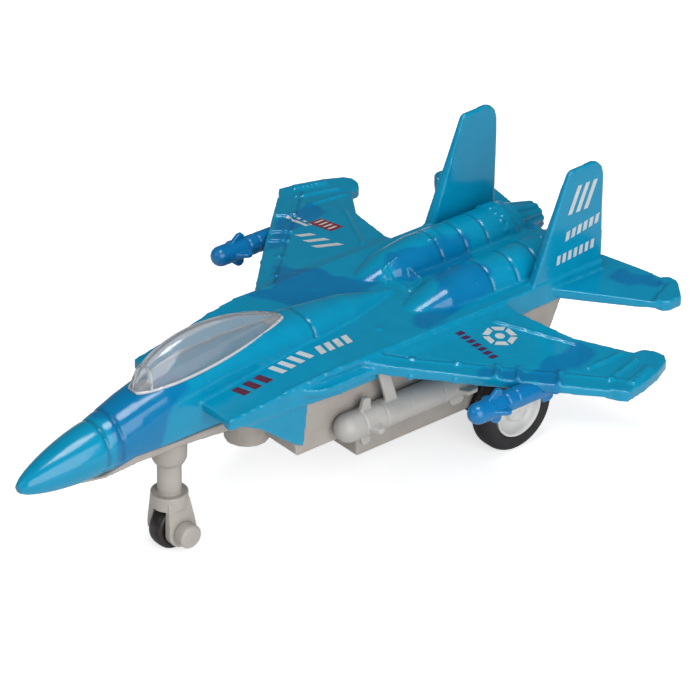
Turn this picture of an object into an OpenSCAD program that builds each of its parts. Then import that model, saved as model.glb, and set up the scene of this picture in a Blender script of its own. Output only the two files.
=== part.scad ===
// Pull-back toy jet: a die-cast upper body on a moulded hull, with a geared spring motor on the rear axle.
// Nose towards -Y, tail towards +Y, wheels standing on z = 0. Stations are distances behind the nose tip.

/* [Airframe] */
// Length from nose tip to tailplane tips
overall_l = 125.5; // [124:0.5:130]
// Half span, centre line to the wing tip
half_span = 47.3; // [44:0.1:50]
// Height of the flat deck over the engines
deck_z = 33.4; // [33:0.1:34]
// Half width of the rear shoulders
shoulder_w = 15; // [14.5:0.1:15.5]
// Height of the fin tips
fin_top_z = 54.1; // [48:0.1:58]
// Wall thickness of the die-cast body
cast_t = 1.5; // [1.2:0.1:1.8]

/* [Hull] */
// Half width of the moulded hull
hull_w = 12.9; // [12:0.1:13]
// Underside of the hull between the wheels
hull_z = 17.7; // [17.2:0.1:18.5]
// Underside of the motor block
block_z = 8.8; // [8:0.1:10]
// Wall thickness of the moulded hull
hull_t = 1.3; // [1:0.1:1.6]

/* [Rear wheels] */
// Radius of the rear tyre
tyre_r = 8.2; // [7.5:0.1:9]
// Width of the rear tyre
tyre_w = 4.5; // [3.5:0.1:5]
// Radius of the white hub's rim
rim_r = 5.2; // [4.5:0.1:6]
// Outer face of the rear tyre, from the centre line
wheel_x = 14.2; // [13.5:0.1:15]
// Station of the rear axle
axle_s = 100.1; // [98:0.1:102]
// Diameter of the rear axle
axle_d = 2; // [1.8:0.1:2.4]

/* [Nose gear] */
// Radius of the nose wheel
nose_r = 4.2; // [3.8:0.1:4.6]
// Width of the nose wheel
nose_w = 3.2; // [2.6:0.1:3.3]
// Station of the nose axle
nose_s = 32; // [31:0.1:32.4]
// Diameter of the nose axle pin
nose_pin_d = 1.2; // [1:0.1:1.4]

/* [Motor] */
// Gear module
gear_m = 0.5; // [0.5:0.05:0.5]
// Teeth on the axle gear and on each pinion
pinion_n = 12; // [12:1:12]
// Teeth on the large wheel of the intermediate gear
idler_n = 28; // [26:2:28]
// Teeth on the spring gear
spring_n = 28; // [26:2:30]
// Half width of the motor case
case_w = 7.2; // [7:0.1:7.4]
// Turns of the mainspring
spring_turns = 6; // [4:1:7]

/* [Hidden] */
$fn = 48;
overlap = 0.01;
nose_y = -overall_l / 2;
nose_tip_z = 23.9;
ring_s = 15.5;
ring_z = 26.2;
ring_r = 4.75;
side_x = 13.25;
intake_s = 34.2;
plate_t = 0.8;
keel_z = 24.4;
engine_x = 6.8;
engine_r = 5.1;
engine_z = 32.3;
nozzle_s = 114;
nozzle_l = 6.6;
fin_x = 15.2;
missile_x = 15.2;
missile_z = 20.9;
missile_s = 56;
missile_r = 2.6;
pod_x = 35.1;
pod_z = 28.8;
pod_s = 68.5;
pod_r = 1.9;
canopy_s0 = 23.7;
canopy_s1 = 56.2;
canopy_z0 = 33.8;
canopy_tilt = atan((37.0 - canopy_z0) / (canopy_s1 - canopy_s0));
canopy_w = 3.7;
canopy_h = 6.5;
canopy_t = 0.8;
strut_s = 31.5;
strut_r = 2.15;
crown_r = 3.3;
crown_z = 8.7;
crown_t = 2.7;
leg_x0 = 1.8;
leg_x1 = 3.3;
head_r = 2.2;
run_gap = 0.05;
pin_r = 0.75;
arbor_r = 1.25;
axle_r = axle_d / 2;
axle_z = tyre_r;
wheel_in = wheel_x - tyre_w;
mesh_1 = gear_m * (pinion_n + idler_n) / 2;
mesh_2 = gear_m * (pinion_n + spring_n) / 2;
rise_1 = 64;
rise_2 = 5;
idler_s = axle_s - mesh_1 * cos(rise_1);
idler_z = axle_z + mesh_1 * sin(rise_1);
spring_s = idler_s - mesh_2 * cos(rise_2);
spring_z = idler_z + mesh_2 * sin(rise_2);
screw_front_s = 48.5;
screw_mid_s = 60.5;
screw_l = 10.5;
boss_r = 2.4;
window_s0 = 82;
window_s1 = 97;

// ---- helpers ----

// Moves children to a station along the body, a side position and a height
module at_station(s, x = 0, z = 0) {
    translate([x, nose_y + s, z]) children();
}

// Draws the children on both sides of the centre line
module both_sides() {
    children();
    mirror([1, 0, 0]) children();
}

function signed_power(v, e) = sign(v) * pow(abs(v), e);

// Rounded outline in X and Z: half width w, from z0 to z1, e = 1 is an ellipse and smaller is squarer
function rounded(w, z0, z1, e, steps = 40) = [
    for (i = [0:steps - 1])
        let (a = 360 * i / steps)
        [w * signed_power(cos(a), e), (z0 + z1) / 2 + (z1 - z0) / 2 * signed_power(sin(a), e)]
];

// Square-cornered outline in X and Z
function squared(x0, x1, z0, z1) = [[x1, z0], [x1, z1], [x0, z1], [x0, z0]];

// Skin through rings: each ring is [station, outline], and all outlines have the same number of points
module loft(rings) {
    n = len(rings[0][1]);
    last = len(rings) - 1;
    polyhedron(
        [for (ring = rings, p = ring[1]) [p[0], nose_y + ring[0], p[1]]],
        concat(
            [for (i = [0:last - 1], j = [0:n - 1])
                [i * n + j, i * n + (j + 1) % n, (i + 1) * n + (j + 1) % n, (i + 1) * n + j]],
            [[for (j = [n - 1:-1:0]) j]],
            [[for (j = [0:n - 1]) last * n + j]]
        )
    );
}

// Skin through rounded frames: each is [station, half width, z0, z1, squareness, side offset]
module skin(frames) {
    loft([
        for (f = frames)
            let (shift = len(f) > 5 ? f[5] : 0)
            [f[0], [for (p = rounded(f[1], f[2], f[3], f[4])) [p[0] + shift, p[1]]]]
    ]);
}

// Skin through square frames: each is [station, x0, x1, z0, z1]
module box_skin(frames) {
    loft([for (f = frames) [f[0], squared(f[1], f[2], f[3], f[4])]]);
}

// A shaft along X, from x0 to x1, at a station and a height
module shaft_x(s, z, r, x0, x1) {
    at_station(s, x0, z) rotate([0, 90, 0]) cylinder(r = r, h = x1 - x0);
}

// Extrudes a station-height outline along X
module side_plate(x0, x1) {
    at_station(0, x0) rotate([90, 0, 90]) linear_extrude(x1 - x0) children();
}

// ---- die-cast body ----

// Radome: radius and height of its axis at fraction t of its length
function radome_r(t) = 0.8 + (ring_r - 0.8) * pow(1 - pow(1 - t, 1.6), 0.75);
function radome_z(t) = nose_tip_z + (ring_z - nose_tip_z) * t;

module nose_and_fuselage() {
    steps = 12;
    skin(concat(
        [for (i = [0:steps])
            let (t = i / steps, r = radome_r(t), z = radome_z(t))
            [ring_s * t, r, z - r, z + r, 1]],
        [
            [22.5, 5.4, 21.4, 33.4, 0.85],
            [28, 5.5, 21.4, 34.8, 0.7],
            [38, 5.4, 21, 36.2, 0.65],
            [50, 5.3, 24, 37, 0.7],
            [57.5, 5.1, 28, 37, 0.8],
            [62, 4.8, 30, 36.6, 0.9],
            [70, 3.7, 30, 36.1, 0.95],
            [81, 0.8, 30, 33.8, 1]
        ]
    ));
}

// Flat shoulders, from the intake lips to the tail
module shoulders() {
    box_skin([
        [intake_s, 0, side_x, 28.4, 30.4],
        [57, 0, shoulder_w, 28, deck_z],
        [118, 0, fin_x, 29.4, deck_z]
    ]);
    // outer intake plate, swept down towards the rear
    side_plate(side_x - plate_t, side_x)
        polygon([[34.6, 29.6], [34.7, 29.3], [38.5, 27.5], [41.1, 26.1], [45, 23], [48.4, 20.4],
                 [50.4, 19.4], [51.3, 28.3], [51.3, 30], [40, 30]]);
}

// Engine humps on the rear deck
module engines() {
    skin([
        [79, 2.4, 31, deck_z + 0.3, 1, engine_x],
        [86, 4.4, 29, engine_z + 4, 0.9, engine_x],
        [92, engine_r, engine_z - engine_r, engine_z + engine_r, 1, engine_x]
    ]);
    at_station(92, engine_x, engine_z) rotate([-90, 0, 0]) cylinder(r = engine_r, h = nozzle_s - 92);
    at_station(111, engine_x, engine_z) rotate([-90, 0, 0]) cylinder(r = engine_r + 0.25, h = 1.6);
    // nozzle with a raised collar
    at_station(nozzle_s, engine_x, engine_z) rotate([-90, 0, 0]) {
        cylinder(r = engine_r - 0.9, h = 1);
        translate([0, 0, 0.9]) cylinder(r1 = engine_r - 0.7, r2 = 2.9, h = nozzle_l);
    }
}

// Wing tip: a thick rounded rail that sweeps inboard towards the rear
tip_outline = [
    [half_span - 3.4, 91.6], [half_span - 1.2, 92.8], [half_span, 93.9], [half_span - 0.8, 98.5],
    [half_span - 2.1, 103], [half_span - 3.8, 106.5], [half_span - 5.3, 107.5], [half_span - 7.3, 107.2],
    [half_span - 9, 106], [half_span - 9.3, 104.2], [half_span - 8, 100]
];

// A flat plate at height z, t thick, outlined in X and station
module slab(z, t, outline) {
    at_station(0, 0, z) linear_extrude(t) polygon(outline);
}

// Outer wing panel, made thicker upwards by extra
module outer_panel(extra) {
    hull() {
        slab(29.5, 1.7 + extra, [[29, 75.4], [30, 76.5], [30, 97.8], [29, 97.5]]);
        slab(28.5, 1.5 + extra, [[half_span - 3, 91], [half_span - 2.4, 91.7],
                                 [half_span - 8.6, 104.3], [half_span - 9.3, 103.9]]);
    }
}

// Wing panel: each pair of strips is joined, dropping slightly towards the tip
module wing() {
    hull() {
        slab(31.3, 1.9, [[13, 60], [13.2, 60], [13.2, 94.4], [13, 94.4]]);
        slab(30.3, 1.9, [[17, 63.8], [18, 64.8], [18, 95], [17, 94.8]]);
    }
    hull() {
        slab(30.3, 1.9, [[17, 63.8], [18, 64.8], [18, 95], [17, 94.8]]);
        slab(29.5, 1.7, [[29, 75.4], [30, 76.5], [30, 97.8], [29, 97.5]]);
    }
    outer_panel(0);
    slab(28, 2.1, tip_outline);
    // glove ledge ahead of the wing root
    hull() {
        slab(30.4, 1.1, [[12.2, 46.5], [12.8, 46.5], [12.8, 64], [12.2, 64]]);
        slab(30.2, 1.3, [[15.9, 51], [16.5, 52.5], [16.5, 64.5], [12, 64.5]]);
    }
}

// Upright fin, thinner at the top, its inner face shorter than its outer one
module fin() {
    hull() {
        side_plate(fin_x - 0.9, fin_x - 0.3)
            polygon([[101, deck_z - 0.9], [117.9, deck_z - 0.9], [117.9, deck_z - 0.5]]);
        side_plate(fin_x - 2.5, fin_x - 2.2)
            polygon([[101.6, deck_z - 0.9], [116.8, deck_z - 0.9], [116.8, deck_z - 0.5]]);
        side_plate(fin_x - 1.6, fin_x - 0.6)
            polygon([[109, fin_top_z - 0.8], [109.6, fin_top_z - 0.3], [114.9, fin_top_z],
                     [116, fin_top_z - 0.4], [117, fin_top_z - 1.4], [117.5, fin_top_z - 3]]);
    }
}

module tailplane() {
    hull() {
        slab(30.1, 1.8, [[10, 104], [15, 105.5], [20, 109.4], [20, 123.6], [11, 121.8], [10, 121.5]]);
        slab(30.3, 1.3, [[29.6, 117], [30.6, 118], [24, 124.6], [23, 124.2]]);
    }
    // rounded tip rail
    slab(29.9, 2.1, [[29.6, 117.6], [30.8, 118], [31.5, 119.2], [31.3, 122], [27.6, overall_l - 0.6],
                     [26.4, overall_l], [24.7, overall_l - 0.3], [24, overall_l - 1.4]]);
}

module screw_boss(s, z0, z1) {
    at_station(s, 0, z0) difference() {
        cylinder(r = boss_r, h = z1 - z0);
        translate([0, 0, -1]) cylinder(r = 0.85, h = 7);
    }
}

module body_cavity() {
    // underside of the nose, cut flat where the keel lies
    side_plate(-7, 7)
        polygon([[8.95, 14], [8.95, 21.63], [15.9, 21.8], [21, keel_z], [52, keel_z], [52, 14]]);
    // nose channel
    skin([[18, 3, 15, 29, 0.8], [34, 3.9, 15, 32, 0.7], [56, 3.8, 15, 34, 0.7]]);
    // main hollow under the deck
    box_skin([
        [44, -side_x + cast_t, side_x - cast_t, 15, 29.6],
        [57, 0.1 - shoulder_w + cast_t, shoulder_w - cast_t - 0.1, 15, deck_z - 1.7],
        [111.1, 0.1 - shoulder_w + cast_t, shoulder_w - cast_t - 0.1, 15, deck_z - 1.7]
    ]);
    // intake mouths
    both_sides() box_skin([
        [intake_s - 1, 5.6, side_x - cast_t, 16, 28.9],
        [45, 5.6, side_x - cast_t, 16, 29.3]
    ]);
    // nozzle bores
    both_sides() at_station(nozzle_s + 2, engine_x, engine_z)
        rotate([-90, 0, 0]) cylinder(r1 = 3.2, r2 = 2.1, h = nozzle_l);
    // seat for the canopy, with slots for its tabs
    canopy_frame() {
        bubble(0);
        for (v = tab_v) translate([-0.8, v - 0.15, -4]) cube([1.6, 2.2, 6]);
    }
}

module body_shell() {
    color([0.0, 0.5, 0.68]) {
        difference() {
            union() {
                nose_and_fuselage();
                both_sides() {
                    shoulders();
                    engines();
                    wing();
                    fin();
                    tailplane();
                }
            }
            body_cavity();
        }
        screw_boss(screw_front_s, keel_z, 34.5);
        screw_boss(screw_mid_s, 21.6, deck_z - 1);
    }
}

// ---- canopy ----

canopy_l = (canopy_s1 - canopy_s0) / cos(canopy_tilt);
tab_v = [1.35, canopy_l - 3.25];

module canopy_frame() {
    at_station(canopy_s0, 0, canopy_z0) rotate([canopy_tilt, 0, 0]) children();
}

// Half width and height factor of the bubble at fraction t of its length
function bubble_w(t) = pow(sin(180 * pow(t, 0.72)), 0.62);
function bubble_h(t) = pow(sin(180 * pow(t, 0.78)), 0.7);

module bubble(shrink) {
    steps = 18;
    arc = 16;
    pts = [
        for (i = [0:steps])
            let (t = 0.002 + 0.996 * i / steps, w = max(bubble_w(t) * canopy_w - shrink, 0.05),
                 h = max(bubble_h(t) * canopy_h - shrink, 0.05))
            for (j = [0:arc])
                let (a = 180 * j / arc)
                [w * cos(a), shrink + t * (canopy_l - 2 * shrink), h * sin(a)]
    ];
    row = arc + 1;
    faces = concat(
        [for (i = [0:steps - 1], j = [0:arc - 1])
            [i * row + j, i * row + j + 1, (i + 1) * row + j + 1, (i + 1) * row + j]],
        [for (i = [0:steps - 1]) [i * row + arc, i * row, (i + 1) * row, (i + 1) * row + arc]],
        [[for (j = [arc:-1:0]) j]],
        [[for (j = [0:arc]) steps * row + j]]
    );
    polyhedron(pts, faces);
}

module canopy() {
    color([0.8, 0.85, 0.9, 0.4]) canopy_frame() {
        difference() {
            bubble(0);
            translate([0, 0, -overlap]) bubble(canopy_t);
        }
        for (v = tab_v) translate([-0.65, v, -3.2]) cube([1.3, 1.9, 4]);
    }
}

// ---- lower hull ----

// Height of the keel's underside at a station
function keel_under(st) = 23.8 - 0.09 * (st - 23.3);

module lower_hull() {
    color([0.63, 0.61, 0.59]) difference() {
        union() {
            // thin nose keel
            box_skin([
                [9, -1, 1, 21.1, 21.6],
                [15.9, -3, 3, 21.2, 21.75],
                [21, -4.6, 4.6, 22.8, keel_z - 0.05],
                [30, -5.3, 5.3, keel_under(30), keel_z - 0.05],
                [50, -5.3, 5.3, keel_under(50), keel_z - 0.05]
            ]);
            side_plate(-hull_w, hull_w)
                polygon([[49, hull_z], [106.1, hull_z], [110.9, 28.9], [57, 27.9], [48, 28.1]]);
            // motor block
            side_plate(-8.6, 8.6)
                polygon([[66.4, block_z], [92.8, block_z], [96, 15], [96, 19], [66, 19]]);
            // socket for the nose leg
            at_station(strut_s, 0, 17.1) cylinder(r1 = 2.55, r2 = 3.15, h = 1.2);
            at_station(strut_s, 0, 18.29) cylinder(r = 3.15, h = 5);
            // round boss for the front screw
            at_station(screw_front_s, 0, 15.9) cylinder(r = 4.1, h = 7);
        }
        // hollow inside
        side_plate(-hull_w + hull_t, hull_w - hull_t)
            polygon([[50.5, hull_z + hull_t], [104.7, hull_z + hull_t], [109.4, 30], [46, 30], [49.5, 24.5]]);
        // recesses for the intake plates
        both_sides() side_plate(side_x - plate_t - 0.05, side_x + 1)
            polygon([[46, 31], [46, 22.1], [48.3, 20.3], [50.45, 19.3], [51.4, 28.3], [51.4, 31]]);
        // bay for the motor case
        side_plate(-case_w - 0.3, case_w + 0.3) case_outline(0.3);
        side_plate(-case_w - 0.3, case_w + 0.3)
            polygon([[68, block_z + hull_t], [window_s0, block_z + hull_t], [window_s0, 5], [window_s1, 5],
                     [window_s1, 20], [68, 20]]);
        // leg hole and front screw hole
        at_station(strut_s, 0, 16) cylinder(r = strut_r, h = 5);
        at_station(screw_front_s, 0, 10) cylinder(r = 1.25, h = 20);
        at_station(screw_front_s, 0, 15) cylinder(r = 2.3, h = 2.6);
        at_station(screw_front_s, 0, keel_z) cylinder(r = boss_r + 0.1, h = 6);
        at_station(screw_mid_s, 0, 10) cylinder(r = 2.3, h = 10);
    }
    // cup for the middle screw
    color([0.63, 0.61, 0.59]) at_station(screw_mid_s, 0, hull_z) difference() {
        cylinder(r = 3.6, h = 3.8);
        translate([0, 0, -1]) cylinder(r = 2.3, h = 2.8);
        cylinder(r = 1.25, h = 5);
    }
}

// ---- nose gear ----

module nose_fork() {
    color([0.69, 0.68, 0.65]) difference() {
        union() {
            at_station(strut_s, 0, crown_z + crown_t - overlap)
                cylinder(r = strut_r, h = 20.9 - crown_z - crown_t);
            at_station(strut_s, 0, crown_z) cylinder(r = crown_r, h = crown_t);
            both_sides() hull() {
                at_station(strut_s - 2.2, leg_x0, crown_z) cube([leg_x1 - leg_x0 - 0.6, 4.6, 1.6]);
                shaft_x(nose_s, nose_r, 2.9, leg_x0, leg_x1);
            }
        }
        shaft_x(nose_s, nose_r, nose_pin_d / 2, -leg_x1 - 1, leg_x1 + 1);
    }
}

// Pin with a domed head on the left
module nose_axle() {
    color([0.69, 0.68, 0.65]) {
        shaft_x(nose_s, nose_r, nose_pin_d / 2, -leg_x1 - 0.4, leg_x1 + 0.1);
        at_station(nose_s, leg_x1, nose_r) rotate([0, 90, 0]) rotate_extrude()
            polygon([[0, 0], [head_r, 0], [head_r, 2], [head_r * 0.86, 2.4], [0, 2.6]]);
    }
}

module nose_wheel() {
    color([0.1, 0.09, 0.1]) at_station(nose_s, -nose_w / 2, nose_r) rotate([0, 90, 0]) rotate_extrude()
        polygon([[nose_pin_d / 2 + run_gap, 0.1], [nose_r - 1.2, 0.1], [nose_r - 1.2, 0], [nose_r - 0.4, 0],
                 [nose_r, 0.5], [nose_r, nose_w - 0.5], [nose_r - 0.4, nose_w], [nose_r - 1.2, nose_w],
                 [nose_r - 1.2, nose_w - 0.1], [nose_pin_d / 2 + run_gap, nose_w - 0.1]]);
}

// ---- rear wheels ----

module main_axle() {
    color([0.75, 0.75, 0.77]) shaft_x(axle_s, axle_z, axle_r, -wheel_x + 1.2, wheel_x - 1.2);
}

// Hub profile: a dished disc with a rim lip and a raised centre boss, bored for the axle from inside
module wheel_hub() {
    color([0.8, 0.8, 0.79]) at_station(axle_s, wheel_in, axle_z) rotate([0, 90, 0]) rotate_extrude()
        polygon([[axle_r, 0], [2.2, 0], [2.2, 1], [rim_r, 0.6], [rim_r, tyre_w + 0.1],
                 [rim_r - 0.6, tyre_w + 0.1], [rim_r - 0.9, tyre_w - 1.2], [2.3, tyre_w - 1.6],
                 [2, tyre_w - 0.1], [1.6, tyre_w + 0.1], [0, tyre_w + 0.1], [0, tyre_w - 1.2],
                 [axle_r, tyre_w - 1.2]]);
}

module tyre() {
    color([0.13, 0.11, 0.12]) at_station(axle_s, wheel_in, axle_z) rotate([0, 90, 0]) rotate_extrude()
        polygon([[rim_r, 0.2], [tyre_r - 1, 0], [tyre_r - 0.2, 0.5], [tyre_r, 1.2], [tyre_r, tyre_w - 1.2],
                 [tyre_r - 0.2, tyre_w - 0.5], [tyre_r - 1, tyre_w], [rim_r, tyre_w - 0.1]]);
}

module left_wheel_hub() {
    wheel_hub();
}

module right_wheel_hub() {
    mirror([1, 0, 0]) wheel_hub();
}

module left_tyre() {
    tyre();
}

module right_tyre() {
    mirror([1, 0, 0]) tyre();
}

// ---- missiles ----

// Four fins round a shaft: l = length, h = reach from the axis, t = thickness, lead = front edge slope
module fin_cross(l, h, t, lead) {
    for (a = [0:90:270])
        rotate([0, a, 0]) rotate([90, 0, 90]) translate([0, 0, -t / 2]) linear_extrude(t)
            polygon([[0, 0], [lead, h], [l - 0.5, h], [l, h - 0.5], [l, 0]]);
}

// A cylinder along the missile, from v0 to v1 behind the nose centre
module barrel(v0, v1, r) {
    translate([0, v0, 0]) rotate([-90, 0, 0]) cylinder(r = r, h = v1 - v0);
}

// Grey missile, flattened where it meets the hull side, with a slanted strut up to the wing root
module hull_missile() {
    color([0.66, 0.65, 0.63]) difference() {
        union() {
            at_station(missile_s + missile_r, missile_x, missile_z) {
                sphere(r = missile_r);
                barrel(0, 2.2, missile_r);
                barrel(2.1, 28, missile_r - 0.25);
                barrel(2.6, 6.9, missile_r);
                barrel(7.2, 12.3, missile_r);
                barrel(12.6, 20, missile_r);
                barrel(20.4, 26.4, missile_r);
                barrel(28, 29.4, missile_r - 0.8);
                translate([0, 1.6, 0]) fin_cross(3.2, 4.7, 0.9, 1.6);
                translate([0, 21.4, 0]) fin_cross(5, 4.4, 0.9, 2.4);
            }
            side_plate(missile_x - 0.1, missile_x + 0.7)
                polygon([[64.6, 30.1], [67, 30.1], [70, missile_z], [67.4, missile_z]]);
            at_station(64, hull_w, missile_z - 0.8) cube([missile_x - hull_w, 16, 1.6]);
        }
        at_station(50, hull_w - 5, 10) cube([5, 45, 25]);
    }
}

// Blue missile, half sunk into the underside of the outer wing panel
module wing_missile() {
    color([0.0, 0.36, 0.62]) difference() {
        at_station(pod_s + pod_r, pod_x, pod_z) {
            sphere(r = pod_r);
            barrel(0, 5.6, pod_r);
            barrel(5.5, 19, pod_r - 0.2);
            barrel(6.1, 7.9, pod_r);
            barrel(8.3, 17.4, pod_r);
            translate([0, -0.2, 0]) fin_cross(5.4, 3.3, 0.8, 4);
            translate([0, 13, 0]) fin_cross(4.2, 3.3, 0.8, 2);
        }
        outer_panel(6);
    }
}

module left_hull_missile() {
    hull_missile();
}

module right_hull_missile() {
    mirror([1, 0, 0]) hull_missile();
}

module left_wing_missile() {
    wing_missile();
}

module right_wing_missile() {
    mirror([1, 0, 0]) wing_missile();
}

// ---- spring motor ----

// Direction of the next shaft, seen from the axle and from the intermediate pin
toward_idler = 180 - rise_1;
toward_spring = 180 - rise_2;

// Turn of a driven gear that puts a gap where the driver's tooth arrives
function gap_phase(n, toward) = toward + 180 + 180 / n;

// Flat-flanked gear outline with n teeth, centred, with one tooth at the angle phase
module gear_outline(n, phase) {
    pitch_r = gear_m * n / 2;
    tip_r = pitch_r + 0.8 * gear_m;
    root_r = pitch_r - 1.1 * gear_m;
    step = 360 / n;
    rotate(phase) polygon([
        for (i = [0:n - 1], p = [[root_r, -0.30], [tip_r, -0.13], [tip_r, 0.13], [root_r, 0.30]])
            [p[0] * cos(step * (i + p[1])), p[0] * sin(step * (i + p[1]))]
    ]);
}

// A gear on a shaft along X
module gear_x(s, z, n, x0, x1, bore, phase) {
    at_station(s, x0, z) rotate([90, 0, 90]) difference() {
        linear_extrude(x1 - x0) gear_outline(n, phase);
        translate([0, 0, -1]) cylinder(r = bore, h = x1 - x0 + 2);
    }
}

// Case outline: a band round the three shafts, 0.4 clear of the gears inside a wall 1 thick
module case_outline(grow) {
    small_r = gear_m * (pinion_n / 2 + 0.8) + 1.4 + grow;
    large_r = gear_m * (max(idler_n, spring_n) / 2 + 0.8) + 1.4 + grow;
    hull() {
        translate([axle_s, axle_z]) circle(r = small_r);
        translate([idler_s, idler_z]) circle(r = large_r);
    }
    hull() {
        translate([idler_s, idler_z]) circle(r = large_r);
        translate([spring_s, spring_z]) circle(r = large_r);
    }
}

module case_half() {
    color([0.25, 0.26, 0.28]) {
        difference() {
            side_plate(0, case_w) case_outline(0);
            side_plate(-1, case_w - 1.2) case_outline(-1);
            shaft_x(axle_s, axle_z, axle_r + run_gap, -1, case_w + 1);
            shaft_x(idler_s, idler_z, pin_r, -1, case_w + 1);
            shaft_x(spring_s, spring_z, arbor_r + run_gap, -1, case_w + 1);
        }
        // feet resting on the hull floor
        for (s = [spring_s - 6.8, idler_s + 3.2])
            at_station(s, case_w - 0.5, hull_z + hull_t) cube([3, 3, 1.5]);
    }
}

module motor_case_left() {
    case_half();
}

module motor_case_right() {
    mirror([1, 0, 0]) case_half();
}

module axle_gear() {
    color([0.9, 0.88, 0.8]) gear_x(axle_s, axle_z, pinion_n, 1, 4.5, axle_r, toward_idler);
}

module intermediate_gear() {
    color([0.9, 0.88, 0.8]) {
        gear_x(idler_s, idler_z, idler_n, 1.4, 4, pin_r + run_gap, gap_phase(idler_n, toward_idler));
        gear_x(idler_s, idler_z, pinion_n, -3.4, 1.5, pin_r + run_gap, toward_spring);
    }
}

module intermediate_pin() {
    color([0.75, 0.75, 0.77]) shaft_x(idler_s, idler_z, pin_r, -case_w, case_w);
}

module spring_gear() {
    color([0.9, 0.88, 0.8])
        gear_x(spring_s, spring_z, spring_n, -3.2, -1.4, arbor_r, gap_phase(spring_n, toward_spring));
}

module spring_arbor() {
    color([0.75, 0.75, 0.77]) shaft_x(spring_s, spring_z, arbor_r, -case_w, case_w);
}

// Spiral band: points along the outside, then back along the inside
function spiral_point(r, a) = [r * cos(a), r * sin(a)];
function spiral(r0, pitch, turns, t, steps) = concat(
    [for (i = [0:steps]) let (a = 360 * turns * i / steps) spiral_point(r0 + pitch * a / 360, a)],
    [for (i = [steps:-1:0]) let (a = 360 * turns * i / steps) spiral_point(r0 + pitch * a / 360 - t, a)]
);

module mainspring() {
    spring_reach = 1.75 + 0.8 * spring_turns;
    color([0.35, 0.37, 0.42]) at_station(spring_s, -case_w + 1.3, spring_z) rotate([90, 0, 90]) {
        linear_extrude(2.3) polygon(spiral(2, 0.8, spring_turns, 0.3, 24 * spring_turns));
        // outer end, bent to hook on the case wall
        translate([spring_reach, -0.4, 0]) cube([7.75 - spring_reach, 0.45, 2.3]);
    }
}

// ---- fasteners ----

module self_tapper(l) {
    cylinder(r = 2, h = 1.1);
    translate([0, 0, 1]) cylinder(r = 0.85, h = l);
}

module body_screws() {
    color([0.7, 0.7, 0.72]) {
        at_station(screw_front_s, 0, 16.5) self_tapper(screw_l);
        at_station(screw_mid_s, 0, hull_z + 0.7) self_tapper(screw_l);
    }
}

body_shell();
lower_hull();
canopy();
nose_fork();
nose_axle();
nose_wheel();
main_axle();
left_wheel_hub();
right_wheel_hub();
left_tyre();
right_tyre();
left_hull_missile();
right_hull_missile();
left_wing_missile();
right_wing_missile();
motor_case_left();
motor_case_right();
axle_gear();
intermediate_gear();
intermediate_pin();
spring_gear();
spring_arbor();
mainspring();
body_screws();
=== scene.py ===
# %% [markdown]
# # A pull-back toy jet
# The real toy is a die-cast upper body in blue gloss paint, pressed onto a grey moulded hull, with a clear
# canopy, plastic missiles and a geared spring motor on the rear axle. The CAD model gives every place and
# size. This script keeps that frame and gives each part the surface a maker would see up close.

import math

import bmesh
import bpy
import numpy as np
from mathutils import Matrix, Vector
from mathutils.bvhtree import BVHTree


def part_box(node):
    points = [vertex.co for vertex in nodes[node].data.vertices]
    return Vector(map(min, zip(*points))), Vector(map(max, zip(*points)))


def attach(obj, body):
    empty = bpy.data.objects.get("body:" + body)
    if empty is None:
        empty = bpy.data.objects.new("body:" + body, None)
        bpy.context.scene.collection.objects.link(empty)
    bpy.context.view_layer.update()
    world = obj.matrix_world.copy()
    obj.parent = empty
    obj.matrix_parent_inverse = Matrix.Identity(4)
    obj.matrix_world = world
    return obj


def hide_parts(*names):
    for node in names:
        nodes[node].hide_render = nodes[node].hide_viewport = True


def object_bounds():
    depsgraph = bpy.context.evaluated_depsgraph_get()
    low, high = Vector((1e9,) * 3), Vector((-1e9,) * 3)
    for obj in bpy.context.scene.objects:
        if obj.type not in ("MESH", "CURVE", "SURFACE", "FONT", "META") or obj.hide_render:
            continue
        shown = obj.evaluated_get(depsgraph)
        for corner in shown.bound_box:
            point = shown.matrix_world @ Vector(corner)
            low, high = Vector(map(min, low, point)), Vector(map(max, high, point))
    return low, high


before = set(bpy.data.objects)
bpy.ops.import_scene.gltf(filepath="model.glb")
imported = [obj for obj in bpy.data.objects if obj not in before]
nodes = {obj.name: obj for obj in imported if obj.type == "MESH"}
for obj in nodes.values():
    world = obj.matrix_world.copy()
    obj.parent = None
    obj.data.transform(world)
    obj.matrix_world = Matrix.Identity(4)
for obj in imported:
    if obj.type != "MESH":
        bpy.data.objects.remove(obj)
cad_box = [list(corner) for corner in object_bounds()]
MM = 0.001
nose_y = cad_box[0][1] / MM
scene = bpy.context.scene
print("CAD box in mm:", [[round(v / MM, 2) for v in corner] for corner in cad_box])


# %% [markdown]
# Stations make a long object easy to describe: a place is a side distance, a distance behind the nose tip and
# a height, all in millimetres. Small helpers turn such places into Blender's metres and points into meshes.

# %% Places and meshes
def spot(x, station, z):
    """A place in metres from its side, station and height in millimetres."""
    return Vector((x, nose_y + station, z)) * MM


def new_piece(name, mesh, body="airframe"):
    """Links a mesh as a piece that rides on a body."""
    piece = bpy.data.objects.new(name, mesh)
    scene.collection.objects.link(piece)
    if body:
        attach(piece, body)
    return piece


def mesh_of(name, points, faces, smooth=True):
    """A mesh from points in metres, its faces turned outward."""
    mesh = bpy.data.meshes.new(name)
    mesh.from_pydata([tuple(p) for p in points], [], faces)
    form = bmesh.new()
    form.from_mesh(mesh)
    bmesh.ops.recalc_face_normals(form, faces=form.faces)
    form.to_mesh(mesh)
    form.free()
    mesh.polygons.foreach_set("use_smooth", [smooth] * len(mesh.polygons))
    return mesh


def evaluated(piece):
    """The mesh of a piece with its modifiers taken in."""
    return bpy.data.meshes.new_from_object(piece.evaluated_get(bpy.context.evaluated_depsgraph_get()))


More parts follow.
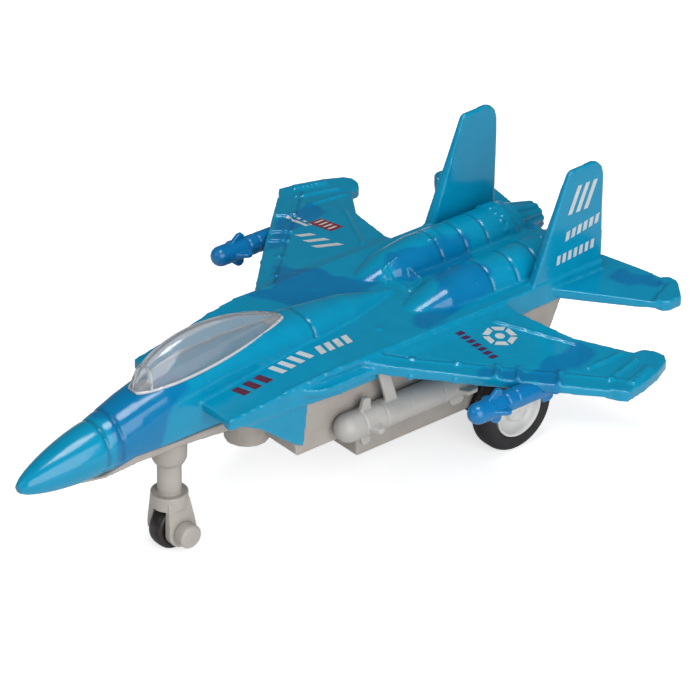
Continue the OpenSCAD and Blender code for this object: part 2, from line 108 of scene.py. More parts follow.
# %% [markdown]
# A cast metal skin has soft edges everywhere, because molten metal can't fill a knife edge and the paint
# rounds it again. The CAD skin is faceted and sharp. A voxel remesh turns it into an even grid, and a few
# rounds of smoothing melt its edges. Raised ribs are added as slim blocks first, so they melt in as well.

# %% Ribs and raised edges of the casting
def slim_block(start, end, width, rise):
    """A block from start to end, [x, station, z] in mm, as wide as width, rising above and below the line."""
    a, b = spot(*start), spot(*end)
    along = (b - a).normalized()
    up = Vector((0, 0, 1)) if abs(along.z) < 0.8 else Vector((1, 0, 0))
    side = along.cross(up).normalized() * width * MM / 2
    up = side.cross(along).normalized() * rise * MM
    corners = [p + s * side + u * up for p in (a, b) for s in (-1, 1) for u in (-1, 1)]
    faces = [(0, 1, 3, 2), (4, 6, 7, 5), (0, 4, 5, 1), (2, 3, 7, 6), (0, 2, 6, 4), (1, 5, 7, 3)]
    return corners, faces


def mirrored(places):
    return [[-p[0]] + list(p[1:]) for p in places]


def tree_of(mesh):
    return BVHTree.FromPolygons([v.co[:] for v in mesh.vertices], [p.vertices[:] for p in mesh.polygons])


cad_skin = tree_of(nodes["body_shell"].data)


def on_skin(x, station):
    """A place in mm on top of the CAD skin, found by a ray from above."""
    hit = cad_skin.ray_cast(spot(x, station, 70), Vector((0, 0, -1)))[0]
    return [x, station, hit.z / MM if hit else 30.0]


wing_ribs = [
    [on_skin(18.3, 70.3), on_skin(20.9, 67.4)], [on_skin(23.8, 75.7), on_skin(26.4, 72.7)],
    [on_skin(28.3, 80.9), on_skin(31.1, 77.8)], [on_skin(30.9, 83.7), on_skin(33.8, 80.5)],
    [on_skin(35.8, 88.8), on_skin(38.7, 85.6)],
]
wing_edges = [
    [on_skin(42.6, 93.6), on_skin(40.2, 102.6)], [on_skin(37.9, 93.1), on_skin(37.4, 102.0)],
    [on_skin(31.4, 96.6), on_skin(17.7, 89.4)],
]
rail_teeth = []
TEETH = 8
for i in range(TEETH):
    t = i / (TEETH - 1)
    x, station = 46.2 - 1.7 * t, 96.4 + 5.9 * t
    rail_teeth.append([on_skin(x, station), on_skin(x - 1.3, station - 0.5)])
hatch = [on_skin(*place) for place in ((-4.8, 86.7), (-4.8, 83.4), (-2.9, 83.5), (2.1, 83.5), (1.3, 86.6),
                                       (0.3, 87.8), (-2.6, 87.6))]
hump_box = [on_skin(*place) for place in ((-7.7, 94.6), (-4.8, 94.4), (-4.8, 96.4), (-7.7, 96.6),
                                          (-7.7, 94.6))]

points, faces = [], []


def add_blocks(lines, width, rise):
    for start, end in lines:
        corners, sides = slim_block(start, end, width, rise)
        faces.extend([tuple(len(points) + i for i in side) for side in sides])
        points.extend(corners)


def both(lines):
    return lines + [mirrored(line) for line in lines]


add_blocks(both(wing_ribs), 0.85, 0.6)
add_blocks(both(wing_edges), 0.6, 0.42)
add_blocks(both(rail_teeth), 0.5, 0.5)
add_blocks([[a, b] for a, b in zip(hatch, hatch[1:])], 0.55, 0.42)
add_blocks([[a, b] for a, b in zip(hump_box, hump_box[1:])], 0.5, 0.4)
# rivets as short pegs
rivets = [[8.9, 70.5, 33.4], [-8.9, 70.5, 33.4], [13.3, 101.5, 33.4], [-13.3, 101.5, 33.4]]
for side in (-1, 1):
    for row in (110.4, 112.0):
        for angle in range(10, 171, 20):
            reach = 5.15
            rivets.append([side * 6.8 + reach * math.cos(math.radians(angle)), row,
                           32.3 + reach * math.sin(math.radians(angle))])
add_blocks([[[x, s - 0.3, z], [x, s + 0.3, z]] for x, s, z in rivets], 0.6, 0.32)
print("raised blocks:", len(points) // 8, "tooth heights in mm:", [round(t[0][2], 2) for t in rail_teeth])

# %% [markdown]
# The CAD skin and the blocks become one object. The grid is a quarter of a millimetre, fine enough for a rib
# and coarse enough to stay light.

# %% Melt the casting
SKIN_GRID = 0.25
casting = nodes["body_shell"].data.copy()
casting.materials.clear()
MELT_ROUNDS = 5
skin = new_piece("cast_body_skin", casting, body=None)
form = bmesh.new()
form.from_mesh(casting)
extra = mesh_of("blocks", points, faces, smooth=False)
form.from_mesh(extra)
form.to_mesh(casting)
form.free()
grid = skin.modifiers.new("grid", "REMESH")
grid.mode = "VOXEL"
grid.voxel_size = SKIN_GRID * MM
grid.adaptivity = 0
melt = skin.modifiers.new("melt", "SMOOTH")
melt.factor = 0.5
melt.iterations = MELT_ROUNDS
melted = evaluated(skin)
skin.modifiers.clear()
skin.data = melted
print("cast skin faces:", len(melted.polygons))

# %% [markdown]
# Grooves are pressed in after melting: each point near a groove line moves a little way inward along its
# normal. The same distance is stored on the mesh, and the paint darkens each groove by it as painted shade.

# %% Press the grooves
GROOVE_FULL = 0.28
count = len(melted.vertices)
places = np.empty(count * 3)
melted.vertices.foreach_get("co", places)
places = places.reshape(-1, 3)
normals = np.empty(count * 3)
melted.vertex_normals.foreach_get("vector", normals)
normals = normals.reshape(-1, 3)
side_mm = places[:, 0] / MM
station_mm = places[:, 1] / MM - nose_y
height_mm = places[:, 2] / MM
pressed = np.zeros(count)


def press(distance, where, depth, width):
    """Marks a groove: distance in mm from its line, where it may reach, its depth and half width."""
    amount = depth * np.exp(-(distance / width) ** 2) * where
    np.maximum(pressed, amount, out=pressed)


def path_distance(path):
    """Distance in plan, in mm, from every point to a path of (x, station) places, on both wings."""
    best = np.full(count, 1e9)
    x = np.abs(side_mm)
    for (x0, s0), (x1, s1) in zip(path, path[1:]):
        dx, ds = x1 - x0, s1 - s0
        t = np.clip(((x - x0) * dx + (station_mm - s0) * ds) / (dx * dx + ds * ds), 0, 1)
        best = np.minimum(best, np.hypot(x - x0 - t * dx, station_mm - s0 - t * ds))
    return best


facing_up = normals[:, 2] > 0.5
outer_face = height_mm > 24.5
for station in (15.5, 18.2):
    press(np.abs(station_mm - station), outer_face * (np.abs(side_mm) < 6), 0.26, 0.32)
spine = (np.abs(side_mm) < 5.2) * (height_mm > 33.6)
press(np.abs(station_mm - 59.3 - 0.06 * np.abs(side_mm)), spine, GROOVE_FULL, 0.32)
hump = (height_mm > 33.7) * (np.hypot(np.abs(side_mm) - 6.8, height_mm - 32.3) < 5.8)
for station in (94.9, 100.7, 105.9):
    press(np.abs(station_mm - station), hump, 0.26, 0.3)
on_top = facing_up * (height_mm < 33.3) * (height_mm > 29.5)
hinge = [(15.2, 66.4), (43.6, 96.4)]
press(path_distance(hinge), on_top, 0.24, 0.28)
stab_line = [(28.6, 117.4), (26.2, 123.6)]
press(path_distance(stab_line), on_top, 0.22, 0.3)
PETALS = 12
round_nozzle = np.arctan2(height_mm - 32.3, np.abs(side_mm) - 6.8)
petal_gap = np.abs((round_nozzle * PETALS / (2 * math.pi) + 0.5) % 1 - 0.5) * 2 * math.pi / PETALS * 4
press(petal_gap, (station_mm > 115.6) * (np.hypot(np.abs(side_mm) - 6.8, height_mm - 32.3) < 4.6), 0.2, 0.4)

# raised soft ridges: the flare on the shoulder and the wing's hinge line
raised = np.zeros(count)
flare = (np.abs(side_mm) > 12.3) * (height_mm < 33.6) * (normals[:, 2] > 0.85)
shoulder_fold = [(13.4, 46.0), (14.2, 51.0), (15.0, 56.5), (15.4, 62.5)]
np.maximum(raised, 0.2 * np.exp(-(path_distance(shoulder_fold) / 0.6) ** 2) * flare, out=raised)
beside_hinge = [(15.0, 65.6), (44.0, 96.0)]
np.maximum(raised, 0.16 * np.exp(-((path_distance(beside_hinge)) / 0.45) ** 2) * on_top, out=raised)
places += normals * ((raised - pressed) * MM)[:, None]
melted.vertices.foreach_set("co", places.ravel())
groove = melted.attributes.new("groove", "FLOAT", "POINT")
groove.data.foreach_set("value", pressed / GROOVE_FULL)
melted.polygons.foreach_set("use_smooth", [True] * len(melted.polygons))
melted.update()
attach(skin, "airframe")
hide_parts("body_shell")
skin_tree = tree_of(melted)
print("points pressed:", int((pressed > 0.05).sum()))

# %% [markdown]
# The toy is sprayed sky blue first, then darker blue through a mask, so each dark patch has one outline and a
# slightly soft edge. Here a patch is an outline in plan, and each skin point keeps how far inside it lies.

# %% Spray the dark patches
SPRAY_EDGE = 0.8
dark_amount = np.zeros(count)
wander = 0.35 * np.sin(station_mm * 0.9 + side_mm * 0.7) + 0.25 * np.sin(side_mm * 1.7 - station_mm * 0.6)


def spray(outline, across, along, where):
    """Darkens the points inside an outline given in two of their coordinates, in mm."""
    inside = np.zeros(count, bool)
    nearest = np.full(count, 1e9)
    for (u0, v0), (u1, v1) in zip(outline, outline[1:] + outline[:1]):
        du, dv = u1 - u0, v1 - v0
        t = np.clip(((across - u0) * du + (along - v0) * dv) / (du * du + dv * dv), 0, 1)
        nearest = np.minimum(nearest, np.hypot(across - u0 - t * du, along - v0 - t * dv))
        if dv:
            crosses = ((v0 > along) != (v1 > along)) & (across < u0 + du * (along - v0) / dv)
            inside ^= crosses
    depth = np.where(inside, nearest, -nearest) + wander
    np.maximum(dark_amount, np.clip(0.5 + depth / SPRAY_EDGE, 0, 1) * where, out=dark_amount)


upper = height_mm > 28.2
plan_patches = [
    [(-14.4, 60.0), (-14.0, 64.8), (-22.0, 71.9), (-17.0, 75.5), (-7.5, 77.8), (-5.4, 82.9), (-2.2, 78.0),
     (-3.4, 68.0), (-7.0, 63.9)],
    [(-7.3, 86.0), (-4.7, 90.9), (-4.3, 100.3), (-2.8, 101.8), (-0.4, 100.0), (0.4, 92.0), (-0.4, 86.0),
     (-2.5, 84.5), (-5.0, 84.1)],
    [(0.0, 94.1), (2.6, 94.2), (6.0, 93.4), (7.7, 95.6), (10.0, 96.3), (11.8, 94.4), (11.7, 90.5),
     (12.4, 87.0), (14.4, 77.0), (11.4, 76.4), (9.0, 79.6), (8.0, 85.0), (4.0, 87.6)],
    [(28.8, 75.8), (27.7, 78.0), (30.5, 81.2), (32.6, 83.4), (32.8, 86.6), (31.2, 90.4), (31.4, 97.4),
     (33.9, 99.2), (36.7, 95.4), (35.9, 90.4), (36.9, 87.8), (39.4, 86.0), (33.9, 80.6)],
    [(17.4, 115.6), (17.6, 120.2), (22.6, 122.9), (26.4, 122.6), (22.4, 117.4)],
    [(-28.0, 74.5), (-36.8, 85.2), (-38.4, 93.8), (-33.2, 94.6), (-32.0, 88.8), (-30.8, 82.9), (-27.5, 79.4)],
    [(-18.0, 116.1), (-18.3, 120.8), (-22.8, 122.6), (-25.2, 121.6), (-21.1, 117.1)],
]
for outline in plan_patches:
    spray(outline, side_mm, station_mm, upper)
nose_band = [(16.6, 18.0), (16.9, 38.0), (33.4, 38.0), (32.0, 33.9), (30.0, 32.3), (27.4, 30.0), (26.0, 26.3),
             (24.4, 18.0)]
spray(nose_band, station_mm, height_mm, np.abs(side_mm) < 6.5)
spray([(116.4, 29.0), (116.0, 33.4), (121.8, 33.0), (121.8, 29.0)], station_mm, height_mm,
      np.abs(side_mm) < 12)
dark_patch = melted.attributes.new("dark_patch", "FLOAT", "POINT")
dark_patch.data.foreach_set("value", dark_amount)
print("points sprayed dark:", int((dark_amount > 0.5).sum()))

# %% [markdown]
# The canopy is one clear moulding: a thin bubble with a flat rim, a raised arch near the front, and a tab
# under each end. A lathe or a sphere can't give its teardrop plan, so it is laid out as a grid of arches.
# Their width and height swell and shrink along its length.

# %% The clear canopy
low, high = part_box("canopy")
base_front = [23.7, 33.8]
base_rear = [56.2, 37.0]
canopy_len = math.dist(base_front, base_rear)
tilt = math.atan2(base_rear[1] - base_front[1], base_rear[0] - base_front[0])
canopy_half = high[0] / MM
CANOPY_HIGH = 6.5
CANOPY_WALL = 0.55


def on_canopy(x, along, up):
    """A place on the tilted canopy: side, distance along its base and height above the base."""
    return spot(x, base_front[0] + along * math.cos(tilt) - up * math.sin(tilt),
                base_front[1] + along * math.sin(tilt) + up * math.cos(tilt))


def bubble_half(t):
    return math.sin(math.pi * t ** 0.72) ** 0.62


def bubble_high(t):
    return math.sin(math.pi * t ** 0.78) ** 0.7


def arch_swell(t):
    """The raised arch between the small front pane and the main pane."""
    return 0.16 * math.exp(-((t - 0.075) / 0.022) ** 2)


ALONG, AROUND = 90, 48


def bubble_sheet(inset):
    sheet = []
    for i in range(ALONG + 1):
        t = 0.5 - 0.5 * math.cos(math.pi * (0.012 + 0.976 * i / ALONG))
        half = max(bubble_half(t) * canopy_half - inset + arch_swell(t), 0.04)
        up = max(bubble_high(t) * CANOPY_HIGH - inset + arch_swell(t), 0.04)
        along = inset + t * (canopy_len - 2 * inset)
        for j in range(AROUND + 1):
            angle = math.pi * j / AROUND
            sheet.append(on_canopy(half * math.cos(angle), along, 0.04 + up * math.sin(angle)))
    return sheet


outside, inside = bubble_sheet(0), bubble_sheet(CANOPY_WALL)
row = AROUND + 1
inner = len(outside)
faces = []
for i in range(ALONG):
    for j in range(AROUND):
        a = i * row + j
        faces.append((a, a + 1, a + row + 1, a + row))
        faces.append((inner + a, inner + a + row, inner + a + row + 1, inner + a + 1))
    for j in (0, AROUND):
        a = i * row + j
        faces.append((a, a + row, inner + a + row, inner + a))
for i in (0, ALONG):
    for j in range(AROUND):
        a = i * row + j
        faces.append((a, a + 1, inner + a + 1, inner + a))
canopy = new_piece("canopy_bubble", mesh_of("canopy_bubble", outside + inside, faces))
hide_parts("canopy")


def bead(name, line, radius, closed):
    """A round bead, radius in mm, along places in metres."""
    curve = bpy.data.curves.new(name, "CURVE")
    curve.dimensions = "3D"
    curve.bevel_depth = radius * MM
    curve.bevel_resolution = 3
    path = curve.splines.new("POLY")
    path.points.add(len(line) - 1)
    for point, place in zip(path.points, line):
        point.co = (*place, 1)
    path.use_cyclic_u = closed
    shaper = bpy.data.objects.new(name, curve)
    scene.collection.objects.link(shaper)
    piece = new_piece(name, evaluated(shaper))
    bpy.data.objects.remove(shaper)
    return piece


rim_line, arch_line = [], []
RIM_STEPS = 120
for i in range(RIM_STEPS):
    turn = 2 * math.pi * i / RIM_STEPS
    t = 0.5 - 0.488 * math.cos(turn)
    side = 1 if turn < math.pi else -1
    rim_line.append(on_canopy(side * bubble_half(t) * canopy_half * 0.985, t * canopy_len, 0.12))
ARCH_T = 0.075
for j in range(33):
    angle = math.pi * j / 32
    arch_line.append(on_canopy(bubble_half(ARCH_T) * canopy_half * math.cos(angle), ARCH_T * canopy_len
                               + 0.9 * math.sin(angle), bubble_high(ARCH_T) * CANOPY_HIGH * math.sin(angle)))
canopy_rim = bead("canopy_rim", rim_line, 0.3, True)
canopy_arch = bead("canopy_arch", arch_line, 0.26, False)

# tabs that drop into slots in the body
tab_points, tab_faces = [], []
for along, length, half in ((1.2, 2.3, 0.9), (canopy_len - 3.9, 2.6, 1.0)):
    first = len(tab_points)
    for up in (-0.6, 0.9 if along < 5 else 0.7):
        for dx, dv in ((-1, 0), (1, 0), (1, 1), (-1, 1)):
            shrink = 0.75 if up > 0 else 1
            tab_points.append(on_canopy(dx * half * shrink, along + dv * length, up))
    tab_faces += [tuple(first + k for k in f) for f in
                  ((0, 1, 2, 3), (4, 7, 6, 5), (0, 4, 5, 1), (1, 5, 6, 2), (2, 6, 7, 3), (3, 7, 4, 0))]
tabs = new_piece("canopy_tabs", mesh_of("canopy_tabs", tab_points, tab_faces, smooth=False))
round_off = tabs.modifiers.new("round", "BEVEL")
round_off.width = 0.25 * MM
round_off.segments = 3
print("canopy faces:", len(canopy.data.polygons))

# %% [markdown]
# Wheels are turned shapes. A profile is drawn as a closed loop of radius and offset. Its corners are cut
# twice so that they become small rounds, and the loop is spun round the axle.

# %% Turned wheels
SPOKES_ROUND = 128


def softened(loop, rounds=2, cut=0.22):
    """Cuts the corners of a closed loop."""
    for _ in range(rounds):
        cut_loop = []
        for (r0, o0), (r1, o1) in zip(loop, loop[1:] + loop[:1]):
            cut_loop.append((r0 + (r1 - r0) * cut, o0 + (o1 - o0) * cut))
            cut_loop.append((r1 + (r0 - r1) * cut, o1 + (o0 - o1) * cut))
        loop = cut_loop
    return loop


def turned(name, loop, inner_x, side, centre_y, centre_z, body, node, rounds=2):
    """Spins a loop of (radius, offset outward) in mm round an axle along X, for one side."""
    loop = softened(loop, rounds)
    points, faces = [], []
    for k in range(SPOKES_ROUND):
        angle = 2 * math.pi * k / SPOKES_ROUND
        for radius, offset in loop:
            points.append(((inner_x + offset) * side * MM, centre_y + radius * math.cos(angle) * MM,
                           centre_z + radius * math.sin(angle) * MM))
    n = len(loop)
    for k in range(SPOKES_ROUND):
        for j in range(n):
            a, b = k * n, (k + 1) % SPOKES_ROUND * n
            faces.append((a + j, a + (j + 1) % n, b + (j + 1) % n, b + j))
    piece = new_piece(name, mesh_of(name, points, faces), body)
    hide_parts(node)
    return piece


low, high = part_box("left_tyre")
tyre_radius = (high[2] - low[2]) / 2 / MM
tyre_wide = (high[0] - low[0]) / MM
tyre_in = low[0] / MM
axle_y, axle_z = (low[1] + high[1]) / 2, (low[2] + high[2]) / 2
hub_radius = 5.2
tyre_loop = [
    (hub_radius, 0.25), (tyre_radius - 1.1, 0.0), (tyre_radius - 0.3, 0.35), (tyre_radius, 1.15),
    (tyre_radius, tyre_wide / 2), (tyre_radius, tyre_wide - 1.15), (tyre_radius - 0.3, tyre_wide - 0.35),
    (tyre_radius - 1.1, tyre_wide), (hub_radius + 0.5, tyre_wide - 0.1), (hub_radius, tyre_wide - 0.3),
]
hub_loop = [
    (1.02, 0.0), (2.2, 0.0), (2.2, 1.0), (hub_radius, 0.6), (hub_radius, tyre_wide - 0.15),
    (hub_radius - 0.1, tyre_wide + 0.08), (hub_radius - 0.55, tyre_wide + 0.08),
    (hub_radius - 0.9, tyre_wide - 1.1), (3.2, tyre_wide - 1.5), (2.5, tyre_wide - 1.3),
    (2.25, tyre_wide - 0.3), (1.7, tyre_wide + 0.08), (0.9, tyre_wide + 0.1), (0.02, tyre_wide + 0.1),
    (0.02, tyre_wide - 1.15), (1.02, tyre_wide - 1.15),
]
tyres = [turned(f"{word}_tyre_ring", tyre_loop, tyre_in, side, axle_y, axle_z, "rear_wheels", f"{word}_tyre")
         for word, side in (("left", 1), ("right", -1))]
hubs = [turned(f"{word}_hub_dish", hub_loop, tyre_in, side, axle_y, axle_z, "rear_wheels", f"{word}_wheel_hub")
        for word, side in (("left", 1), ("right", -1))]
low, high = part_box("nose_wheel")
nose_radius = (high[2] - low[2]) / 2 / MM
nose_half = high[0] / MM
nose_wheel_loop = [
    (0.66, 0.1), (nose_radius - 1.3, 0.1), (nose_radius - 1.1, 0.0), (nose_radius - 0.5, 0.0),
    (nose_radius, 0.5), (nose_radius, 2 * nose_half - 0.5), (nose_radius - 0.5, 2 * nose_half),
    (nose_radius - 1.1, 2 * nose_half), (nose_radius - 1.3, 2 * nose_half - 0.1), (0.66, 2 * nose_half - 0.1),
]
nose_wheel = turned("nose_wheel_disc", nose_wheel_loop, -nose_half, 1, (low[1] + high[1]) / 2,
                    (low[2] + high[2]) / 2, "nose_wheel", "nose_wheel")
print("turned pieces:", len(tyres) + len(hubs) + 1)

# %% [markdown]
# The hull, missiles and nose leg are injection moulded. Their CAD shapes are right, and only their edges are
# too sharp, so these nodes stay and get the same remesh and melt as modifiers, each with its own grid.

# %% Soften the moulded parts
moulded_grid = {
    "lower_hull": 0.3, "nose_fork": 0.13, "nose_axle": 0.13,
    "left_hull_missile": 0.17, "right_hull_missile": 0.17,
    "left_wing_missile": 0.15, "right_wing_missile": 0.15,
}
for name, size in moulded_grid.items():
    node = nodes[name]
    grid = node.modifiers.new("grid", "REMESH")
    grid.mode = "VOXEL"
    grid.voxel_size = size * MM
    grid.use_smooth_shade = True
    melt = node.modifiers.new("melt", "SMOOTH")
    melt.factor = 0.5
    melt.iterations = 4
print("softened:", ", ".join(moulded_grid))

# %% [markdown]
# The smaller hidden parts are turned pins, stamped cases and cut gears. Their shapes are crisp on the real
# toy, so they only get a small bevel, which gives each edge the thin line of light that real edges show.

# %% Bevel the crisp parts
crisp = {
    "main_axle": 0.12, "motor_case_left": 0.2, "motor_case_right": 0.2, "axle_gear": 0.05,
    "intermediate_gear": 0.05, "intermediate_pin": 0.1, "spring_gear": 0.05, "spring_arbor": 0.1,
    "mainspring": 0.04, "body_screws": 0.08,
}
for name, width in crisp.items():
    edge = nodes[name].modifiers.new("edge", "BEVEL")
    edge.width = width * MM
    edge.segments = 2
    edge.limit_method = "ANGLE"
print("bevelled:", len(crisp))

# %% [markdown]
# Printed marks on the real toy are thin ink on paint. Each mark here is a flat outline cut into small
# triangles and laid onto the skin by a ray, then lifted three hundredths of a millimetre. All of them are
# plain bars, blocks and rings that stand in for the real ones.

# %% Lay marks on the skin
INK_LIFT = 0.03
mark_points, mark_faces = [], []


def lay(outline, aim, step=0.5, lift=INK_LIFT):
    """Lays a convex outline on the skin; aim turns a flat (u, v) place into a ray's start and direction."""
    flat = bmesh.new()
    flat.faces.new([flat.verts.new((u, v, 0)) for u, v in outline])
    us, vs = [p[0] for p in outline], [p[1] for p in outline]
    for axis, low_v, high_v in ((0, min(us), max(us)), (1, min(vs), max(vs))):
        cuts = max(int((high_v - low_v) / step), 1)
        for k in range(1, cuts):
            place = [0.0, 0.0, 0.0]
            place[axis] = low_v + (high_v - low_v) * k / cuts
            normal = [0.0, 0.0, 0.0]
            normal[axis] = 1.0
            bmesh.ops.bisect_plane(flat, geom=flat.verts[:] + flat.edges[:] + flat.faces[:],
                                   plane_co=place, plane_no=normal)
    flat.verts.index_update()
    first = len(mark_points)
    landed = []
    for vert in flat.verts:
        start, direction = aim(vert.co.x, vert.co.y)
        hit, normal, _, _ = skin_tree.ray_cast(start, direction)
        landed.append(hit is not None)
        mark_points.append(hit + normal * lift * MM if hit else start)
    for face in flat.faces:
        if all(landed[v.index] for v in face.verts):
            mark_faces.append(tuple(first + v.index for v in face.verts))
    flat.free()


def from_above(x, station):
    return spot(x, station, 70), Vector((0, 0, -1))


def from_side(side):
    """Rays that travel inward onto the outer face of a fin; u is the station and v the height."""
    return lambda station, z: (spot(side * 22, station, z), Vector((-side, 0, 0)))


def bar(x, station, wide, long, slant=0.0, turn=0.0):
    """A slanted bar as four corners round its centre."""
    corners = [(-wide / 2, -long / 2 - slant), (wide / 2, -long / 2 + slant),
               (wide / 2, long / 2 + slant), (-wide / 2, long / 2 - slant)]
    c, s = math.cos(turn), math.sin(turn)
    return [(x + u * c - v * s, station + u * s + v * c) for u, v in corners]


def finish_marks(name):
    """Turns what has been laid so far into one piece of ink."""
    piece = new_piece(name, mesh_of(name, mark_points, mark_faces))
    print(name, "faces:", len(mark_faces))
    mark_points.clear()
    mark_faces.clear()
    return piece


for k in range(3):
    lay(bar(7.8, 40.9 + 2.4 * k, 2.9, 1.5, slant=0.35), from_above)
dark_red_marks = finish_marks("dark_red_bars")
for k in range(4):
    lay(bar(7.5, 49.1 + 2.0 * k, 3.0, 1.1, slant=0.4), from_above)
for k in range(4):
    lay(bar(8.2, 58.0 + 1.95 * k, 2.6, 1.25, slant=-0.3), from_above)
BADGE_X, BADGE_S = 21.8, 87.2
SIDES = 6
for k in range(SIDES):
    turns = [2 * math.pi * (k + e) / SIDES for e in (0, 0.82)]
    lay([(BADGE_X + r * math.cos(a), BADGE_S + r * math.sin(a))
         for r, a in ((1.9, turns[0]), (3.1, turns[0]), (3.1, turns[1]), (1.9, turns[1]))], from_above)
lay([(BADGE_X + 0.9 * math.cos(math.pi * k / 6), BADGE_S + 0.9 * math.sin(math.pi * k / 6))
     for k in range(12)], from_above)
for k in range(3):
    lay(bar(-22.0 - 3.1 * k, 84.6, 1.1, 5.0 - k, slant=0.5, turn=-0.5), from_above)
lay(bar(-33.8, 87.2, 5.6, 0.7, slant=0.2), from_above)
for k in range(4):
    lay(bar(-31.2 - 1.7 * k, 88.3, 0.8, 0.6), from_above)
fin_side = from_side(1)
for k in range(3):
    lay([(111.2 + 1.9 * k, 50.6), (112.2 + 1.9 * k, 50.6), (110.0 + 1.9 * k, 45.4), (109.0 + 1.9 * k, 45.4)],
        fin_side)
for k in range(6):
    lay([(108.6 + 1.4 * k, 40.3 + 0.25 * k), (109.5 + 1.4 * k, 40.5 + 0.25 * k),
         (109.8 + 1.4 * k, 42.3 + 0.25 * k), (108.9 + 1.4 * k, 42.1 + 0.25 * k)], fin_side)
for k in range(7):
    lay([(106.7 + 1.35 * k, 36.1 + 0.12 * k), (107.5 + 1.35 * k, 36.2 + 0.12 * k),
         (107.7 + 1.35 * k, 38.0 + 0.12 * k), (106.9 + 1.35 * k, 37.9 + 0.12 * k)], fin_side)
pale_marks = finish_marks("pale_marks")
for k in range(7):
    lay(bar(17.4 + 1.42 * k, 81.9, 0.95, 1.5, slant=0.2), from_above)
purple_marks = finish_marks("purple_blocks")
lay(bar(-29.0, 90.1, 5.6, 3.0, slant=0.35), from_above)
red_mark = finish_marks("red_panel")
for k in range(4):
    lay(bar(-27.2 - 1.25 * k, 90.1, 0.5, 1.9, slant=0.2), from_above, lift=2 * INK_LIFT)
panel_slashes = finish_marks("panel_slashes")


# %% [markdown]
# Materials are built from small groups that each answer one question about a surface: where is it mottled,
# where is it scuffed, where does a corner get painted shade, where does an edge get a painted highlight. A
# group gives only a value, a colour or a normal, and each material decides what to do with it, as a painter
# reuses the same sponge on every panel.

# %% Small tools for node trees
def add(tree, kind, **settings):
    """Adds a node and sets its fields and its numbered or named inputs."""
    node = tree.nodes.new(kind)
    for key, value in settings.items():
        if key.startswith("in_"):
            label = key[3:].replace("_", " ")
            node.inputs[int(label) if label.isdigit() else label].default_value = value
        else:
            setattr(node, key, value)
    return node


def join(tree, source, target, output=0, into=0):
    """Links an output to an input."""
    tree.links.new(source.outputs[output], target.inputs[into])
    return target


def new_group(name, inputs, outputs):
    """A node group with its sockets; returns the tree, its input node and its output node."""
    tree = bpy.data.node_groups.new(name, "ShaderNodeTree")
    for label, kind, value in inputs:
        socket = tree.interface.new_socket(label, in_out="INPUT", socket_type=kind)
        if value is not None:
            socket.default_value = value
    for label, kind in outputs:
        tree.interface.new_socket(label, in_out="OUTPUT", socket_type=kind)
    return tree, tree.nodes.new("NodeGroupInput"), tree.nodes.new("NodeGroupOutput")


def use(tree, group, **settings):
    """Places a group in a material or another group."""
    node = tree.nodes.new("ShaderNodeGroup")
    node.node_tree = group
    for label, value in settings.items():
        node.inputs[label.replace("_", " ")].default_value = value
    return node


FLOAT = "NodeSocketFloat"

# %% [markdown]
# No moulded or painted surface is equally glossy everywhere. Broad noise shifts a value between two limits,
# and a finer noise gives the tiny pits. An image of smudges would repeat, and noise never does.

# %% Group: uneven surface
uneven, start, end = new_group(
    "uneven_surface",
    [("Scale", FLOAT, 900.0), ("Low", FLOAT, 0.3), ("High", FLOAT, 0.5)],
    [("Value", FLOAT), ("Pits", FLOAT)])
place = add(uneven, "ShaderNodeTexCoord")
broad = add(uneven, "ShaderNodeTexNoise", in_Detail=6.0, in_Roughness=0.62)
join(uneven, place, broad, "Object", "Vector")
join(uneven, start, broad, "Scale", "Scale")
spread = add(uneven, "ShaderNodeMapRange", in_From_Min=0.3, in_From_Max=0.7)
join(uneven, broad, spread, "Fac", "Value")
join(uneven, start, spread, "Low", "To Min")
join(uneven, start, spread, "High", "To Max")
join(uneven, spread, end, "Result", "Value")
finer = add(uneven, "ShaderNodeMath", operation="MULTIPLY", in_1=6.5)
join(uneven, start, finer, "Scale", 0)
grain = add(uneven, "ShaderNodeTexNoise", in_Detail=3.0, in_Roughness=0.5)
join(uneven, place, grain, "Object", "Vector")
join(uneven, finer, grain, 0, "Scale")
join(uneven, grain, end, "Fac", "Pits")

# %% [markdown]
# Edges are painted lighter, as a painted highlight. A bevelled normal differs from the true one only near an
# edge, so their difference finds edges without any painting, and noise breaks the line up.

# %% Group: lit edge
lit_edges, start, end = new_group(
    "lit_edge_mask",
    [("Radius", FLOAT, 0.0005), ("Sharp", FLOAT, 0.9), ("Breakup", FLOAT, 700.0)],
    [("Edge", FLOAT)])
round_normal = add(lit_edges, "ShaderNodeBevel", samples=4)
join(lit_edges, start, round_normal, "Radius", "Radius")
shape = add(lit_edges, "ShaderNodeNewGeometry")
facing = add(lit_edges, "ShaderNodeVectorMath", operation="DOT_PRODUCT")
join(lit_edges, round_normal, facing, "Normal", 0)
join(lit_edges, shape, facing, "Normal", 1)
found = add(lit_edges, "ShaderNodeMapRange", in_From_Max=1.0, in_To_Min=1.0, in_To_Max=0.0)
join(lit_edges, facing, found, "Value", "Value")
join(lit_edges, start, found, "Sharp", "From Min")
place = add(lit_edges, "ShaderNodeTexCoord")
broken = add(lit_edges, "ShaderNodeTexNoise", in_Detail=4.0)
join(lit_edges, place, broken, "Object", "Vector")
join(lit_edges, start, broken, "Breakup", "Scale")
kept = add(lit_edges, "ShaderNodeMapRange", in_From_Min=0.45, in_From_Max=0.62)
join(lit_edges, broken, kept, "Fac", "Value")
both_found = add(lit_edges, "ShaderNodeMath", operation="MULTIPLY", use_clamp=True)
join(lit_edges, found, both_found, "Result", 0)
join(lit_edges, kept, both_found, "Result", 1)
join(lit_edges, both_found, end, 0, "Edge")

# %% [markdown]
# Scuffs are short lines that mostly run one way. Noise stretched along one direction gives them, and only its
# peaks are kept, so that most of the surface stays clean.

